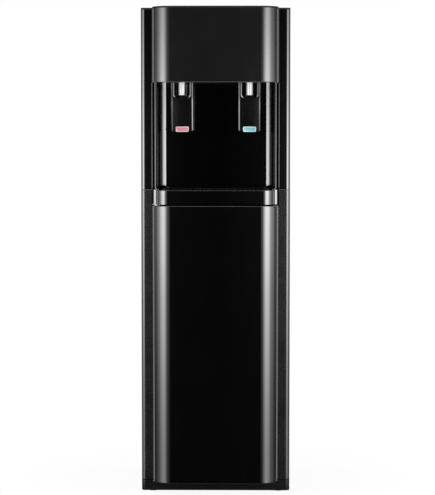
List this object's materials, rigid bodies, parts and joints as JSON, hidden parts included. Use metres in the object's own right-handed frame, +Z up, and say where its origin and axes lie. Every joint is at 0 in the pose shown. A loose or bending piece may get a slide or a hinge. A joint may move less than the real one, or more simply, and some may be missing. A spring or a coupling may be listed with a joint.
{
  "type": "bottom load water cooler",
  "caption": "Tall free-standing water cooler with a bowed door over a bottle bay, a dispensing alcove with push paddles and a pull-out drip tray.",
  "frame": {"origin": "on the floor, at the middle of the overall width and depth", "axes": "+X to the right seen from the front, +Y to the back, +Z up"},
  "size_m": [0.33, 0.393, 1.075],
  "materials": {
    "gloss_black": "high gloss, clear coated",
    "satin_black": "fine satin moulding",
    "hood_black": "semi gloss moulding",
    "cabinet_steel": "black powder coat",
    "black_enamel": "black enamel",
    "white_plastic": "white food-grade moulding",
    "paddle_grey": "semi gloss dark grey",
    "red_chip": "pale red",
    "blue_chip": "pale blue",
    "bay_grey": "grey moulding",
    "zinc_steel": "bright zinc",
    "stainless": "drawn stainless steel",
    "copper": "drawn copper",
    "foam": "expanded foam",
    "rubber": "matt black rubber",
    "nylon": "natural nylon",
    "silicone": "translucent silicone hose",
    "board_green": "green circuit board",
    "magnet_dark": "sintered ferrite"
  },
  "bodies": {
    "cabinet": {"base_pan": "satin_black", "rubber_feet": "rubber", "top_cover": "hood_black", "rear_panel": "cabinet_steel", "rear_screws": "zinc_steel", "door_sill": "satin_black", "tray_housing": "gloss_black", "mid_deck": "cabinet_steel", "bay_back": "bay_grey", "bay_floor": "bay_grey", "bay_sides": "bay_grey", "alcove_liner": "gloss_black", "hood_shell": "hood_black", "hood_base": "hood_black", "hinge_brackets": "zinc_steel", "hinge_pins": "stainless", "door_magnet": "magnet_dark", "pivot_pins": "stainless", "paddle_springs": "stainless", "probe_collar": "nylon", "probe_tube": "stainless", "probe_hook": "zinc_steel", "tank_shelf": "cabinet_steel", "compressor": "black_enamel", "compressor_grommets": "rubber", "cold_tank": "stainless", "evaporator_coil": "copper", "hot_tank": "stainless", "heater_band": "zinc_steel", "tank_insulation": "foam", "taps": "white_plastic", "pump": "black_enamel", "water_hoses": "silicone", "condenser": "black_enamel", "condenser_brackets": "satin_black", "refrigerant_pipes": "copper", "filter_drier": "copper", "control_box": "satin_black", "control_board": "board_green", "switch_housings": "satin_black", "drain_spout": "white_plastic", "cord_gland": "satin_black", "side_panels": "cabinet_steel", "lower_strips": "satin_black", "upper_strips": "satin_black"},
    "door": {"door_shell": "gloss_black", "door_liner": "bay_grey", "door_bushes": "nylon", "strike_plate": "zinc_steel"},
    "tray": {"drip_tray": "gloss_black"},
    "grille": {"drip_grille": "satin_black"},
    "hot_paddle": {"hot_paddle": "paddle_grey", "hot_label": "red_chip"},
    "cold_paddle": {"cold_paddle": "paddle_grey", "cold_label": "blue_chip"},
    "hot_stem": {"hot_stem": "nylon"},
    "cold_stem": {"cold_stem": "nylon"},
    "hot_switch": {"hot_switch": "red_chip"},
    "cold_switch": {"cold_switch": "blue_chip"},
    "drain_cap": {"drain_cap": "satin_black"}
  },
  "joints": [
    {"name": "door_swing", "type": "hinge", "parent": "cabinet", "child": "door", "pos_m": [-0.132, -0.1495, 0.3], "axis": [0, 0, -1], "range_deg": [0, 110]},
    {"name": "tray_slide", "type": "slide", "parent": "cabinet", "child": "tray", "axis": [0, -1, 0], "range_m": [0, 0.15]},
    {"name": "grille_lift", "type": "slide", "parent": "tray", "child": "grille", "axis": [0, 0, 1], "range_m": [0, 0.04]},
    {"name": "hot_paddle_push", "type": "hinge", "parent": "cabinet", "child": "hot_paddle", "pos_m": [-0.0756, -0.1115, 0.9313], "axis": [1, 0, 0], "range_deg": [0, 9], "stiffness_Nm_per_rad": 2, "springref_deg": -4.58},
    {"name": "hot_valve_lift", "type": "slide", "parent": "cabinet", "child": "hot_stem", "axis": [0, 0, 1], "range_m": [0, 0.0032]},
    {"name": "cold_paddle_push", "type": "hinge", "parent": "cabinet", "child": "cold_paddle", "pos_m": [0.0756, -0.1115, 0.9313], "axis": [1, 0, 0], "range_deg": [0, 9], "stiffness_Nm_per_rad": 2, "springref_deg": -4.58},
    {"name": "cold_valve_lift", "type": "slide", "parent": "cabinet", "child": "cold_stem", "axis": [0, 0, 1], "range_m": [0, 0.0032]},
    {"name": "hot_switch_rock", "type": "hinge", "parent": "cabinet", "child": "hot_switch", "pos_m": [-0.077, 0.1695, 0.93], "axis": [1, 0, 0], "range_deg": [0, 16]},
    {"name": "cold_switch_rock", "type": "hinge", "parent": "cabinet", "child": "cold_switch", "pos_m": [-0.043, 0.1695, 0.93], "axis": [1, 0, 0], "range_deg": [0, 16]},
    {"name": "drain_cap_pull", "type": "slide", "parent": "cabinet", "child": "drain_cap", "axis": [0, 1, 0], "range_m": [0, 0.02]}
  ],
  "couplings": [
    {"joint": "hot_valve_lift", "follows": "hot_paddle_push", "m_per_rad": 0.019},
    {"joint": "cold_valve_lift", "follows": "cold_paddle_push", "m_per_rad": 0.019}
  ]
}
